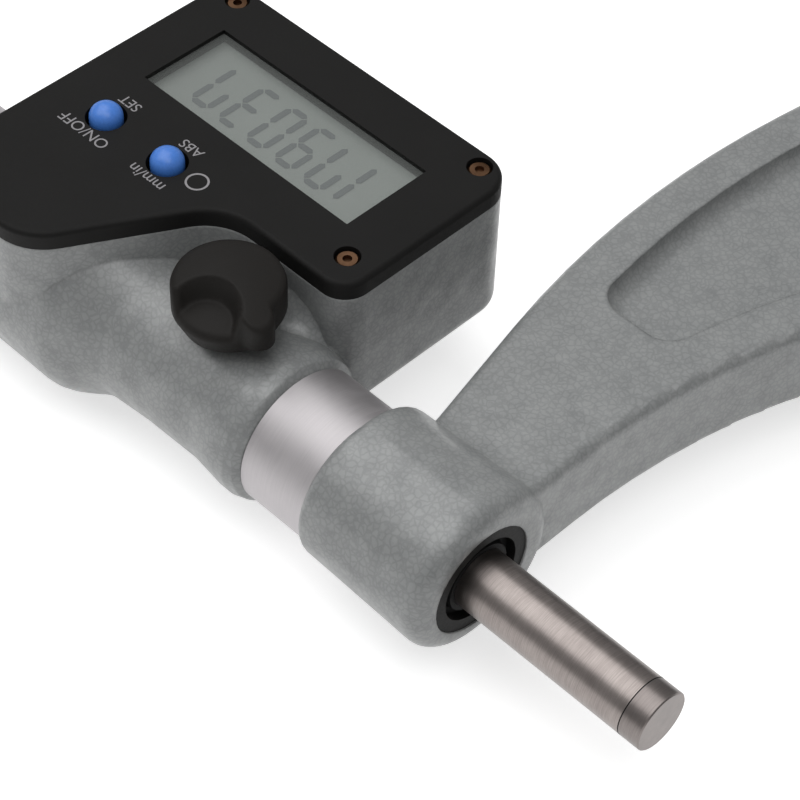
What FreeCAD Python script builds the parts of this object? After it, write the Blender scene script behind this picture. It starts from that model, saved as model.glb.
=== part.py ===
import FreeCAD, Part
import math
import os
import re
import Sketcher

# Large electronic outside micrometer, 175 to 200 mm, lying on its back.
# Millimetres. The origin is the centre of the anvil's measuring face. The measuring axis is X, with
# the spindle and thimble on the -X side, +Y points into the bow and +Z out of the display.

SIZES = {
    # measuring
    "reading": 179.037,
    "opened": 4.037,
    "travel": 25,
    "reach": 206.7,
    "spindle_radius": 4,
    "tip_length": 3,
    "anvil_shown": 9,
    "anvil_seat": 12,
    "running_gap": 0.04,
    "moving_gap": 0.3,
    "seat_gap": 0.02,
    # frame
    "boss_length": 20.8,
    "boss_radius": 10.3,
    "boss_nose_radius": 10.85,
    "boss_nose_round": 2.6,
    "boss_offset": 1.3,
    "boss_round": 1.2,
    "anvil_boss_radius": 9,
    "anvil_boss_length": 17,
    "leg_setback": 1.25,
    "arch_height": 18,
    "bow_thickness": 13.2,
    "bow_edge_round": 1.5,
    "flank_wall": 14.2,
    "haunch_wall": 27,
    "haunch_height": 55,
    "shoulder_wall": 18,
    "shoulder_height": 116,
    "crown_half_width": 62,
    "crown_wall": 37,
    "haunch_round": 145,
    "shoulder_round": 75,
    "crown_round": 120,
    "rim_width": 6.5,
    "recess_start": 38.5,
    "recess_depth": 2.6,
    "recess_round": 4,
    "leg_blend_round": 10,
    # stem sleeve and nose seal
    "ring_length": 10.25,
    "ring_radius": 9.46,
    "stem_radius": 7.6,
    "stem_tail": 24,
    "land_length": 9,
    "seal_depth": 2.8,
    "seal_wall": 1.75,
    "lip_radius": 5,
    # housing
    "collar_radius": 10.65,
    "collar_length": 5.5,
    "neck_radius": 10.05,
    "neck_length": 23.75,
    "shoulder_length": 9.5,
    "bulge_radius": 14.15,
    "box_setback": 0.75,
    "box_length": 53.1,
    "box_reach": 38.5,
    "box_drop": 4.3,
    "box_top": 15.4,
    "box_wall": 2.5,
    "box_corner": 5,
    "box_edge_round": 2.4,
    "notch_edge": 8.3,
    "notch_length": 20.8,
    "notch_run": 12.6,
    "notch_round": 8,
    "barrel_edge": 13.6,
    "chamber_radius": 11.4,
    "chamber_length": 15,
    "passage_radius": 5.5,
    "board_level": 10,
    "board_edge": 5.6,
    "board_lobe": 26.5,
    "pit_edge": 13.2,
    "floor_level": 0.5,
    # face
    "cover_height": 2.6,
    "cover_wall": 2,
    "cover_edge_round": 0.7,
    "window_end_inset": 7.6,
    "window_width": 13.7,
    "window_inset": 8.3,
    "window_edge": 16.8,
    "window_sink": 0.6,
    "window_thickness": 1,
    "lcd_margin": 1.8,
    "lcd_thickness": 2.6,
    "board_thickness": 1.2,
    "board_gap": 0.2,
    "strip_width": 2,
    # buttons
    "button_row": 8.3,
    "button_inset": 5,
    "button_pitch": 11.6,
    "button_radius": 2.4,
    "button_flange": 0.8,
    "button_lip": 0.8,
    "button_rise": 0.5,
    "button_dome": 1.5,
    "button_travel": 0.5,
    "switch_height": 1.5,
    "switch_width": 4,
    # screws
    "screw_inset": 4.3,
    "screw_inset_top": 2.6,
    "screw_low_edge": 13,
    "screw_barrel_inset": 3.8,
    "screw_radius": 1,
    "screw_head_radius": 1.55,
    "screw_head_height": 1,
    "screw_sink": 0.4,
    "screw_length": 8,
    "post_radius": 2.5,
    # battery
    "battery_radius": 10,
    "battery_height": 3.2,
    "battery_x": 27.5,
    "battery_y": 24,
    "cap_radius": 10.8,
    "cap_height": 2.4,
    "coin_slot": 1.8,
    "ring_wire": 0.5,
    # lock
    "lock_offset": 11.9,
    "lock_shoe_radius": 1.4,
    "lock_screw_radius": 1.9,
    "knob_radius": 7.2,
    "knob_base_radius": 5.9,
    "knob_bottom": 11.4,
    "knob_rim_low": 13.9,
    "knob_rim_top": 16.3,
    "knob_top": 19.3,
    "lever_heel_radius": 6.75,
    "lever_heel_offset": 0.1,
    "lever_nose_radius": 1.4,
    "lever_nose_reach": 8,
    "lever_angle": 14,
    "scoop_radius": 5.76,
    "scoop_back": 3.6,
    "scoop_aside": 8.28,
    "lever_round": 0.9,
    # encoder
    "stator_thickness": 1.2,
    "rotor_gap": 0.8,
    "rotor_thickness": 1.2,
    "rotor_radius": 10.6,
    "bush_radius": 6.6,
    "bush_length": 7,
    "key_width": 1,
    "key_depth": 0.8,
    "flange_thickness": 3,
    # thimble end
    "barrel_radius": 8,
    "barrel_length": 36,
    "nut_length": 12,
    "nut_wall": 1.9,
    "nut_ring_length": 6,
    "screw_thread_radius": 3.5,
    "thread_margin": 0.6,
    "thimble_radius": 9.75,
    "thimble_wall": 1.45,
    "thimble_gap": 1.6,
    "thimble_depth": 38,
    "thimble_end": 4,
    "thimble_bevel": 6,
    "tail_radius": 3,
    "tail_length": 8,
    "ratchet_base": 2.2,
    "ratchet_plate": 1.6,
    "ratchet_radius": 7.6,
    "ratchet_length": 17,
    "ratchet_wall": 1.8,
    "ratchet_floor": 9,
    "flute_radius": 0.7,
    "ratchet_screw_head": 3.2,
}
FLUTES = 20

doc = FreeCAD.newDocument("OutsideMicrometer")
sheet = doc.addObject("Spreadsheet::Sheet", "Sizes")
for row, (alias, amount) in enumerate(SIZES.items(), start=1):
    sheet.set(f"A{row}", alias)
    sheet.set(f"B{row}", str(amount))
    sheet.setAlias(f"B{row}", alias)
doc.recompute()

PIECES = []


def bound(text):
    """Write a formula of size names as an expression on the sheet."""
    return re.sub(r"[a-z_]+", lambda word: "Sizes." + word.group() if word.group() in SIZES else word.group(), text)


def size(text):
    """Work a formula out to a number, for shapes that are made by functions."""
    return float(sheet.evalExpression(bound(text)))


# Stations along the measuring axis, as formulas.
NOSE = "-reach"
BOSS_BACK = f"({NOSE} - boss_length)"
HOUSING_FRONT = f"({BOSS_BACK} - ring_length)"
BOX_FRONT = f"({HOUSING_FRONT} - box_setback)"
HOUSING_BACK = f"({BOX_FRONT} - box_length)"
STEM_FRONT = f"({NOSE} - seal_depth)"
STEM_BACK = f"({HOUSING_FRONT} - stem_tail)"
FLANGE_FRONT = f"({HOUSING_BACK} + flange_thickness)"
CHAMBER_FRONT = f"({HOUSING_BACK} + chamber_length)"
STATOR_FRONT = CHAMBER_FRONT
STATOR_BACK = f"({STATOR_FRONT} - stator_thickness)"
ROTOR_FRONT = f"({STATOR_BACK} - rotor_gap)"
BUSH_BACK = f"({ROTOR_FRONT} - bush_length)"
BARREL_BACK = f"({HOUSING_BACK} - barrel_length)"
NUT_FRONT = f"({BARREL_BACK} + nut_length)"
SPINDLE_FACE = "-reading"
SPINDLE_FRONT = f"({SPINDLE_FACE} - tip_length)"
GROUND_BACK = f"({NUT_FRONT} + travel - opened + thread_margin)"
THIMBLE_FRONT = f"({HOUSING_BACK} - thimble_gap - opened)"
THIMBLE_INNER = f"({THIMBLE_FRONT} - thimble_depth)"
THIMBLE_BACK = f"({THIMBLE_INNER} - thimble_end)"
BASE_BACK = f"({THIMBLE_BACK} - ratchet_base)"
KNOB_FRONT = f"({BASE_BACK} - moving_gap)"
KNOB_BACK = f"({KNOB_FRONT} - ratchet_length)"
LOCK_X = f"({HOUSING_FRONT} - lock_offset)"
COVER_TOP = "(box_top + cover_height)"
FLANGE_TOP = f"({COVER_TOP} - cover_wall - moving_gap)"
FLANGE_LOW = f"({FLANGE_TOP} - button_flange)"
WINDOW_X = f"({HOUSING_BACK} + window_end_inset)"
WINDOW_END = f"({BOX_FRONT} - window_inset)"
WINDOW_LENGTH = f"({WINDOW_END} - {WINDOW_X})"
BORE = "(spindle_radius + running_gap)"


def keep(piece, label):
    """Name a finished sub-part, which is then written to its own file."""
    piece.Label = label
    PIECES.append(piece)
    return piece


def plane_of(body, role):
    """Find one of a body's own origin planes or axes."""
    return next(item for item in body.Origin.OriginFeatures if item.Role == role)


def profile_sketch(body, name, corners, role="XY_Plane"):
    """Draw a closed profile whose corners are held by formulas."""
    sketch = body.newObject("Sketcher::SketchObject", name)
    sketch.AttachmentSupport = [(plane_of(body, role), "")]
    sketch.MapMode = "FlatFace"
    points = [FreeCAD.Vector(size(across), size(up), 0) for across, up in corners]
    count = len(points)
    for index in range(count):
        sketch.addGeometry(Part.LineSegment(points[index], points[(index + 1) % count]), False)
    for index in range(count):
        sketch.addConstraint(Sketcher.Constraint("Coincident", index, 2, (index + 1) % count, 1))
    for index, (across, up) in enumerate(corners):
        for kind, letter, formula, amount in (
            ("DistanceX", "across", across, points[index].x),
            ("DistanceY", "up", up, points[index].y),
        ):
            number = sketch.addConstraint(Sketcher.Constraint(kind, -1, 1, index, 1, amount))
            sketch.renameConstraint(number, f"{letter}{index}")
            sketch.setExpression(f"Constraints.{letter}{index}", bound(formula))
    return sketch


def turned_body(name, corners):
    """Turn a profile of (station, radius) corners about the measuring axis."""
    body = doc.addObject("PartDesign::Body", name)
    sketch = profile_sketch(body, name + "_profile", corners)
    turn = body.newObject("PartDesign::Revolution", name + "_turn")
    turn.Profile = sketch
    turn.ReferenceAxis = (sketch, ["H_Axis"])
    turn.Angle = 360
    return body


def turned(label, corners):
    """A piece that is simply turned."""
    return keep(turned_body(label, corners), label)


def tube(front, back, inner, outer):
    """The profile of a plain ring or tube."""
    return [(front, inner), (front, outer), (back, outer), (back, inner)]


def box(name, low, high):
    """A box between two corners given as formulas."""
    block = doc.addObject("Part::Box", name)
    for side, start, end in zip(("Length", "Width", "Height"), low, high):
        block.setExpression(side, bound(f"{end} - {start}"))
    for letter, start in zip("xyz", low):
        block.setExpression(f"Placement.Base.{letter}", bound(start))
    return block


def post(name, across, along, bottom, top, radius):
    """An upright cylinder between two levels."""
    rod = doc.addObject("Part::Cylinder", name)
    rod.setExpression("Radius", bound(radius))
    rod.setExpression("Height", bound(f"{top} - {bottom}"))
    for letter, formula in zip("xyz", (across, along, bottom)):
        rod.setExpression(f"Placement.Base.{letter}", bound(formula))
    return rod


def cut(name, base, tool):
    """Take one solid from another."""
    result = doc.addObject("Part::Cut", name)
    result.Base = base
    result.Tool = tool
    return result


def fuse(name, solids):
    """Join solids into one piece."""
    result = doc.addObject("Part::MultiFuse", name)
    result.Shapes = solids
    return result


def shaped(label, solid):
    """A piece whose form comes from functions."""
    piece = doc.addObject("Part::Feature", label)
    piece.Shape = solid
    return keep(piece, label)


def rounded_outline(corners):
    """A closed outline of straight runs joined by tangent arcs, from (x, y, radius) corners."""
    points = [FreeCAD.Vector(across, up, 0) for across, up, _ in corners]
    count = len(points)
    edges = []
    starts = []
    ends = []
    for index, (_, _, radius) in enumerate(corners):
        corner = points[index]
        before = points[index - 1] - corner
        after = points[(index + 1) % count] - corner
        turn = math.pi - before.getAngle(after)
        room = 0.499 * min(before.Length, after.Length)
        trim = min(radius * math.tan(turn / 2), room)
        before.normalize()
        after.normalize()
        start = corner + before * trim
        end = corner + after * trim
        if trim > 0:
            true_radius = trim / math.tan(turn / 2)
            middle = before + after
            middle.normalize()
            sagitta = true_radius / math.cos(turn / 2) - true_radius
            edges.append(Part.Arc(start, corner + middle * sagitta, end).toShape())
        starts.append(start)
        ends.append(end)
    for index in range(count):
        run_end = starts[(index + 1) % count]
        if (run_end - ends[index]).Length > 1e-6:
            edges.append(Part.LineSegment(ends[index], run_end).toShape())
    return Part.Wire(Part.__sortEdges__(edges))


def slab(outline, bottom, top):
    """Give an outline a thickness between two levels."""
    face = Part.Face(outline)
    face.translate(FreeCAD.Vector(0, 0, bottom))
    return face.extrude(FreeCAD.Vector(0, 0, top - bottom))


def edges_at(solid, level):
    """Edges that lie in one level plane."""
    return [edge for edge in solid.Edges if edge.BoundBox.ZLength < 1e-4 and abs(edge.BoundBox.ZMin - level) < 1e-4]


def rims_at(solid, station):
    """Round edges that lie at one station along the measuring axis."""
    return [
        edge for edge in solid.Edges
        if edge.BoundBox.XLength < 1e-4 and abs(edge.BoundBox.XMin - station) < 1e-4 and edge.BoundBox.ZLength > 1
    ]


def rod_along_x(front, back, radius):
    """A cylinder on the measuring axis."""
    return Part.makeCylinder(radius, front - back, FreeCAD.Vector(back, 0, 0), FreeCAD.Vector(1, 0, 0))


def rod_up(across, along, bottom, top, radius):
    """An upright cylinder."""
    return Part.makeCylinder(radius, top - bottom, FreeCAD.Vector(across, along, bottom))


def lathe(corners):
    """Turn a plain (station, radius) profile about the measuring axis."""
    points = [FreeCAD.Vector(station, radius, 0) for station, radius in corners]
    face = Part.Face(Part.makePolygon(points + points[:1]))
    return face.revolve(FreeCAD.Vector(0, 0, 0), FreeCAD.Vector(1, 0, 0), 360)


# ---------------------------------------------------------------- frame

ARCH_X = size("(anvil_shown - reach) / 2")
ARCH_RADIUS = size("(reach + anvil_shown) / 2 + leg_setback")


def bow_outline():
    """Outer flanks and crown with the round arch inside, ending at the two legs' roots."""
    flank = ARCH_RADIUS + size("flank_wall")
    haunch = ARCH_RADIUS + size("haunch_wall")
    shoulder = ARCH_RADIUS + size("shoulder_wall")
    crown = size("crown_half_width")
    top = size("arch_height + crown_wall") + ARCH_RADIUS
    right_side = [
        (flank, 0, 0),
        (haunch, size("haunch_height"), size("haunch_round")),
        (shoulder, size("shoulder_height"), size("shoulder_round")),
        (crown, top, size("crown_round")),
    ]
    corners = [(ARCH_X + across, up, radius) for across, up, radius in right_side]
    corners += [(ARCH_X - across, up, radius) for across, up, radius in reversed(right_side)]
    outside = Part.Face(rounded_outline(corners))
    arch = Part.Face(Part.Wire(Part.makeCircle(ARCH_RADIUS, FreeCAD.Vector(ARCH_X, size("arch_height"), 0))))
    # Below the arch's centre the legs' inner faces stay upright.
    throat = Part.makePlane(2 * ARCH_RADIUS, size("arch_height"), FreeCAD.Vector(ARCH_X - ARCH_RADIUS, 0, 0))
    return outside.cut(arch.fuse(throat)).removeSplitter().Faces[0]


def recess_tool(outline):
    """The shallow panel in one side of the bow, with rounded corners and a rounded floor edge."""
    inner = outline.makeOffset2D(-size("rim_width"))
    start = size("recess_start")
    reach_up = 4 * ARCH_RADIUS
    above = Part.makePlane(2 * reach_up, reach_up, FreeCAD.Vector(ARCH_X - reach_up, start, 0))
    panel = inner.common(above).Faces[0]
    depth = size("recess_depth")
    tool = panel.extrude(FreeCAD.Vector(0, 0, 2 * depth))
    upright = [edge for edge in tool.Edges if edge.BoundBox.ZLength > depth]
    ends = [edge for edge in upright if abs(edge.BoundBox.YMin - start) < 1e-3]
    tool = tool.makeFillet(size("recess_round"), ends)
    return tool.makeFillet(0.9 * depth, edges_at(tool, 0))


def leg_section(half):
    """The legs' section beside a boss, whose flanks sweep down from the boss's round to the bow's faces."""
    round_boss = size("boss_radius")
    blend = size("leg_blend_round")
    middle = FreeCAD.Vector(0, math.sqrt((round_boss + blend) ** 2 - (half + blend) ** 2), half + blend)
    touch = middle * (round_boss / (round_boss + blend))
    foot = middle - FreeCAD.Vector(0, 0, blend)
    through = (touch - middle) + (foot - middle)
    through.normalize()
    upper = [touch, middle + through * blend, foot]
    lower = [FreeCAD.Vector(0, point.y, -point.z) for point in upper]
    return Part.Face(Part.Wire([
        Part.Arc(*upper).toShape(), Part.LineSegment(foot, lower[2]).toShape(),
        Part.Arc(*reversed(lower)).toShape(), Part.LineSegment(lower[0], touch).toShape(),
    ]))


def build_frame():
    half = size("bow_thickness / 2")
    outline = bow_outline()
    bow = outline.extrude(FreeCAD.Vector(0, 0, 2 * half))
    bow.translate(FreeCAD.Vector(0, 0, -half))
    tall = size("boss_radius")
    legs = outline.extrude(FreeCAD.Vector(0, 0, 4 * tall))
    legs.translate(FreeCAD.Vector(0, 0, -2 * tall))
    sweep = leg_section(half).extrude(FreeCAD.Vector(4 * ARCH_RADIUS, 0, 0))
    sweep.translate(FreeCAD.Vector(ARCH_X - 2 * ARCH_RADIUS, 0, 0))
    bow = bow.fuse(sweep.common(legs)).removeSplitter()
    long_edges = [
        edge for edge in bow.Edges
        if abs(edge.CenterOfMass.z) > half - 1e-4 and edge.BoundBox.YMax > tall
        and (edge.BoundBox.YLength > 1e-3 or edge.BoundBox.YMin > size("haunch_height"))
    ]
    bow = bow.makeFillet(size("bow_edge_round"), long_edges)
    front_tool = recess_tool(outline)
    back_tool = front_tool.mirror(FreeCAD.Vector(0, 0, 0), FreeCAD.Vector(0, 0, 1))
    front_tool.translate(FreeCAD.Vector(0, 0, half - size("recess_depth")))
    back_tool.translate(FreeCAD.Vector(0, 0, size("recess_depth") - half))
    bow = bow.cut(front_tool).cut(back_tool)
    nose = size(NOSE)
    back = size(BOSS_BACK)
    spindle_boss = lathe([(nose, 0), (nose, size("boss_nose_radius")), (back, size("boss_radius")), (back, 0)])
    spindle_boss = spindle_boss.makeFillet(size("boss_nose_round"), rims_at(spindle_boss, nose))
    spindle_boss = spindle_boss.makeFillet(size("boss_round"), rims_at(spindle_boss, back))
    # The casting is fuller on the side where the leg joins.
    fuller = spindle_boss.copy()
    fuller.translate(FreeCAD.Vector(0, size("boss_offset"), 0))
    edge = size("boss_round")
    shown = size("anvil_shown")
    anvil_radius = size("anvil_boss_radius")
    end = shown + size("anvil_boss_length")
    anvil_boss = lathe([
        (shown, 0), (shown, anvil_radius - edge), (shown + edge, anvil_radius),
        (end - edge, anvil_radius), (end, anvil_radius - edge), (end, 0),
    ])
    solid = bow.fuse([spindle_boss, fuller, anvil_boss]).removeSplitter()
    stem_bore = rod_along_x(nose + 1, back - 1, size("stem_radius + seat_gap"))
    anvil_bore = rod_along_x(shown + size("anvil_seat"), shown - 1, size("spindle_radius + seat_gap"))
    return solid.cut(stem_bore).cut(anvil_bore).Solids[0]


shaped("frame", build_frame())

turned("anvil_tip", [
    ("0", "0"), ("0", "spindle_radius - 0.15"), ("0.15", "spindle_radius"), ("tip_length", "spindle_radius"),
    ("tip_length", "0"),
])
turned("anvil", [
    ("tip_length", "0"), ("tip_length", "spindle_radius"), ("anvil_shown + anvil_seat - 0.5", "spindle_radius"),
    ("anvil_shown + anvil_seat", "spindle_radius - 0.5"), ("anvil_shown + anvil_seat", "0"),
])

# ---------------------------------------------------------------- nose seal and stem

turned("nose_ring", tube(
    f"({NOSE} - 0.2)", STEM_FRONT, "stem_radius - seal_wall", "stem_radius"))
turned("wiper_seal", [
    (STEM_FRONT, BORE), (f"{STEM_FRONT} + 2.2", BORE), (f"{STEM_FRONT} + 2.2", "lip_radius - 0.3"),
    (f"{STEM_FRONT} + 1.2", "lip_radius"), (f"{STEM_FRONT} + 1.2", "stem_radius - seal_wall - seat_gap"),
    (STEM_FRONT, "stem_radius - seal_wall - seat_gap"),
])
stem_body = turned_body("stem_blank", [
    (STEM_FRONT, BORE), (STEM_FRONT, "stem_radius"), (BOSS_BACK, "stem_radius"), (BOSS_BACK, "ring_radius"),
    (HOUSING_FRONT, "ring_radius"), (HOUSING_FRONT, "stem_radius"), (STEM_BACK, "stem_radius"),
    (STEM_BACK, BORE), (f"{STEM_BACK} + land_length", BORE),
    (f"{STEM_BACK} + land_length", "spindle_radius + 0.6"), (f"{STEM_FRONT} - 2 * land_length", "spindle_radius + 0.6"),
    (f"{STEM_FRONT} - 2 * land_length", BORE),
])
shoe_hole = post("shoe_hole", LOCK_X, "0", "0", "2 * stem_radius", "lock_shoe_radius + seat_gap")
keep(cut("stem_cut", stem_body, shoe_hole), "stem_sleeve")

# ---------------------------------------------------------------- housing

SCREW_SPOTS = [
    (f"({BOX_FRONT} - screw_inset)", "(box_reach - screw_inset_top)"),
    (f"({BOX_FRONT} - screw_inset)", "screw_low_edge"),
    (f"({HOUSING_BACK} + screw_inset)", "(box_reach - screw_inset_top)"),
    (f"({HOUSING_BACK} + screw_inset)", "(screw_barrel_inset - barrel_edge)"),
]
BUTTON_SPOTS = [
    (f"({BOX_FRONT} - board_lobe - button_inset - button_pitch)", "button_row"),
    (f"({BOX_FRONT} - board_lobe - button_inset)", "button_row"),
]


def face_corners():
    """The display box in plan: a rectangle with a soft notch where the lock knob stands."""
    front = size(BOX_FRONT)
    back = size(HOUSING_BACK)
    corner = size("box_corner")
    notch_x = front - size("notch_length")
    soft = size("notch_round")
    return [
        (front, size("box_reach"), corner),
        (front, size("notch_edge"), 0.75 * corner),
        (notch_x, size("notch_edge"), soft),
        (notch_x - size("notch_run"), -size("barrel_edge"), soft),
        (back, -size("barrel_edge"), corner),
        (back, size("box_reach"), corner),
    ]


def board_corners(margin):
    """The room for the circuit board, shrunk all round by a margin."""
    front = size(BOX_FRONT) - size("box_wall") - margin
    back = size(HOUSING_BACK) + size("box_wall") + margin
    top = size("box_reach - box_wall") - margin
    step = size(f"{BOX_FRONT} - board_lobe") - margin
    low = size("notch_edge + box_wall") + margin
    lobe = size("board_edge") + margin
    return [(front, top, 1), (front, low, 1), (step, low, 0), (step, lobe, 1), (back, lobe, 1), (back, top, 1)]


def flange_pockets():
    """Round rooms for the buttons' flanges, deep enough for their travel."""
    low = size(f"{FLANGE_LOW} - button_travel - moving_gap")
    high = size(f"{FLANGE_TOP} + moving_gap")
    radius = size("button_radius + button_lip + moving_gap")
    return [rod_up(size(across), size(along), low, high, radius) for across, along in BUTTON_SPOTS]


def build_housing():
    front = size(HOUSING_FRONT)
    back = size(HOUSING_BACK)
    top = size("box_top")
    collar = size("collar_radius")
    neck = size("neck_radius")
    bulge = size("bulge_radius")
    neck_end = front - size("neck_length")
    shoulder = size("shoulder_length")
    profile = [(front, 0), (front, collar - 1.6), (front - 0.8, collar - 0.45), (front - 2.2, collar)]
    profile += [(front - 0.7 * size("collar_length"), collar), (front - 1.6 * size("collar_length"), neck)]
    profile += [(neck_end + 6, neck + 0.1)]
    # The neck swells into the bulge in a long S.
    swell = bulge - neck - 0.5
    for step in range(9):
        share = step / 8
        rise = share * share * (3 - 2 * share)
        profile.append((neck_end - shoulder * share, neck + 0.5 + swell * rise))
    profile += [(back + 1, bulge), (back, bulge - 1), (back, 0)]
    barrel = lathe(profile)
    box_solid = slab(rounded_outline(face_corners()), -size("box_drop"), top)
    box_solid = box_solid.makeFillet(size("box_edge_round"), edges_at(box_solid, -size("box_drop")))
    solid = barrel.fuse(box_solid)
    room = slab(rounded_outline(board_corners(0)), size("board_level"), top + 1)
    pit_front = size(f"{BOX_FRONT} - box_wall") - 1.5
    pit_back = size(f"{HOUSING_BACK} + box_wall") + 1.5
    pit_top = size("box_reach - box_wall") - 1
    pit_low = size("pit_edge")
    pit = slab(rounded_outline([
        (pit_front, pit_top, 2), (pit_front, pit_low, 2), (pit_back, pit_low, 2), (pit_back, pit_top, 2),
    ]), size("floor_level"), top)
    solid = solid.cut(room.fuse(pit))
    posts = []
    holes = []
    for across, along in SCREW_SPOTS:
        posts.append(rod_up(size(across), size(along), size("floor_level - 1"), top, size("post_radius")))
        holes.append(rod_up(size(across), size(along), size(f"{COVER_TOP} - screw_sink - screw_length") - 0.5,
                            top + 1, size("screw_radius + seat_gap")))
    solid = solid.fuse([item.common(slab(rounded_outline(face_corners()), 0, top)) for item in posts])
    bores = [
        rod_along_x(front + 1, size(STEM_BACK), size("stem_radius + seat_gap")),
        rod_along_x(front, back, size("passage_radius")),
        rod_along_x(size(CHAMBER_FRONT), back - 1, size("chamber_radius")),
        rod_up(size(LOCK_X), 0, 0, 2 * collar, size("lock_screw_radius + running_gap")),
        rod_up(size(f"{BOX_FRONT} - battery_x"), size("battery_y"), -size("box_drop") - 1,
               size("floor_level") + 1, size("cap_radius + seat_gap")),
    ]
    return solid.cut(bores + holes + flange_pockets()).removeSplitter().Solids[0]


shaped("housing", build_housing())


# ---------------------------------------------------------------- face cover and display

def build_cover():
    bottom = size("box_top")
    top = size(COVER_TOP)
    solid = slab(rounded_outline(face_corners()), bottom, top)
    solid = solid.makeFillet(size("cover_edge_round"), edges_at(solid, top))
    wall = size("cover_wall")
    inside = Part.Face(rounded_outline(face_corners())).makeOffset2D(-wall)
    inside.translate(FreeCAD.Vector(0, 0, bottom - 1))
    hollow = inside.extrude(FreeCAD.Vector(0, 0, top - wall - bottom + 1))
    tools = []
    for across, along in SCREW_SPOTS:
        spot = (size(across), size(along))
        hollow = hollow.cut(rod_up(*spot, bottom - 2, top, size("post_radius")))
        seat = top - size("screw_sink + screw_head_height")
        tools.append(rod_up(*spot, seat, top + 1, size("screw_head_radius + 0.15")))
        tools.append(rod_up(*spot, bottom - 1, top, size("screw_radius + 0.1")))
    for across, along in BUTTON_SPOTS:
        tools.append(rod_up(size(across), size(along), bottom, top + 1, size("button_radius + moving_gap")))
    low = FreeCAD.Vector(size(WINDOW_X), size("window_edge"), bottom)
    tools.append(Part.makeBox(size(WINDOW_LENGTH), size("window_width"), top, low))
    return solid.cut([hollow] + tools + flange_pockets()).removeSplitter().Solids[0]


shaped("face_cover", build_cover())

PANE_TOP = f"({COVER_TOP} - window_sink)"
PANE_BOTTOM = f"({PANE_TOP} - window_thickness)"
LCD_TOP = f"({COVER_TOP} - cover_wall - 0.1)"
LCD_BOTTOM = f"({LCD_TOP} - lcd_thickness)"
BOARD_TOP = "(board_level + board_thickness)"
WINDOW_TOP = "(window_edge + window_width)"

keep(box(
    "display_window", (f"({WINDOW_X} + seat_gap)", "(window_edge + seat_gap)", PANE_BOTTOM),
    (f"({WINDOW_END} - seat_gap)", f"({WINDOW_TOP} - seat_gap)", PANE_TOP)), "display_window")
keep(box(
    "display_panel", (f"({WINDOW_X} - lcd_margin)", "(window_edge - lcd_margin)", LCD_BOTTOM),
    (f"({WINDOW_END} + lcd_margin)", f"({WINDOW_TOP} + lcd_margin)", LCD_TOP)), "display_panel")
keep(box(
    "contact_strip", (WINDOW_X, f"({WINDOW_TOP} - strip_width)", BOARD_TOP),
    (WINDOW_END, WINDOW_TOP, LCD_BOTTOM)), "contact_strip")


def build_board():
    level = size("board_level")
    solid = slab(rounded_outline(board_corners(size("board_gap"))), level, size(BOARD_TOP))
    for across, along in SCREW_SPOTS:
        solid = solid.cut(rod_up(size(across), size(along), 0, 2 * level, size("post_radius + board_gap")))
    return solid.Solids[0]


shaped("circuit_board", build_board())

switches = []
for index, (across, along) in enumerate(BUTTON_SPOTS):
    switches.append(box(
        f"switch_{index}", (f"({across} - switch_width / 2)", f"({along} - switch_width / 2)", BOARD_TOP),
        (f"({across} + switch_width / 2)", f"({along} + switch_width / 2)", f"({BOARD_TOP} + switch_height)")))
switch_pair = doc.addObject("Part::Compound", "switch_pair")
switch_pair.Links = switches
keep(switch_pair, "key_switches")


def upright_turned(name, across, along, corners):
    """Turn a profile of (radius, level) corners about an upright line."""
    body = doc.addObject("PartDesign::Body", name)
    sketch = profile_sketch(body, name + "_profile", corners, "XZ_Plane")
    turn = body.newObject("PartDesign::Revolution", name + "_turn")
    turn.Profile = sketch
    turn.ReferenceAxis = (sketch, ["V_Axis"])
    turn.Angle = 360
    body.setExpression("Placement.Base.x", bound(across))
    body.setExpression("Placement.Base.y", bound(along))
    return body


PLUNGER_LOW = f"({BOARD_TOP} + switch_height + button_travel + 0.1)"
for label, (across, along) in zip(("left_button", "right_button"), BUTTON_SPOTS):
    keep(upright_turned(label, across, along, [
        ("0", PLUNGER_LOW), ("button_radius / 2", PLUNGER_LOW), ("button_radius / 2", FLANGE_LOW),
        ("button_radius + button_lip", FLANGE_LOW), ("button_radius + button_lip", FLANGE_TOP),
        ("button_radius", FLANGE_TOP), ("button_radius", f"{COVER_TOP} + button_rise"),
        ("button_radius * 0.92", f"{COVER_TOP} + button_rise + button_dome * 0.4"),
        ("button_radius * 0.7", f"{COVER_TOP} + button_rise + button_dome * 0.72"),
        ("button_radius * 0.38", f"{COVER_TOP} + button_rise + button_dome * 0.93"),
        ("0", f"{COVER_TOP} + button_rise + button_dome"),
    ]), label)

SCREW_SEAT = f"({COVER_TOP} - screw_sink - screw_head_height)"
screws = []
for index, (across, along) in enumerate(SCREW_SPOTS):
    blank = upright_turned(f"screw_{index}", across, along, [
        ("0", f"{COVER_TOP} - screw_sink - screw_length"), ("screw_radius", f"{COVER_TOP} - screw_sink - screw_length"),
        ("screw_radius", SCREW_SEAT), ("screw_head_radius", SCREW_SEAT),
        ("screw_head_radius", f"{COVER_TOP} - screw_sink - 0.3"), ("screw_head_radius - 0.3", f"{COVER_TOP} - screw_sink"),
        ("0", f"{COVER_TOP} - screw_sink"),
    ])
    socket = post(f"socket_{index}", across, along, f"({COVER_TOP} - screw_sink - 0.6)", COVER_TOP, "0.6")
    screws.append(cut(f"cover_screw_{index}", blank, socket))
screw_set = doc.addObject("Part::Compound", "screw_set")
screw_set.Links = screws
keep(screw_set, "cover_screws")

# ---------------------------------------------------------------- battery

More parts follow.
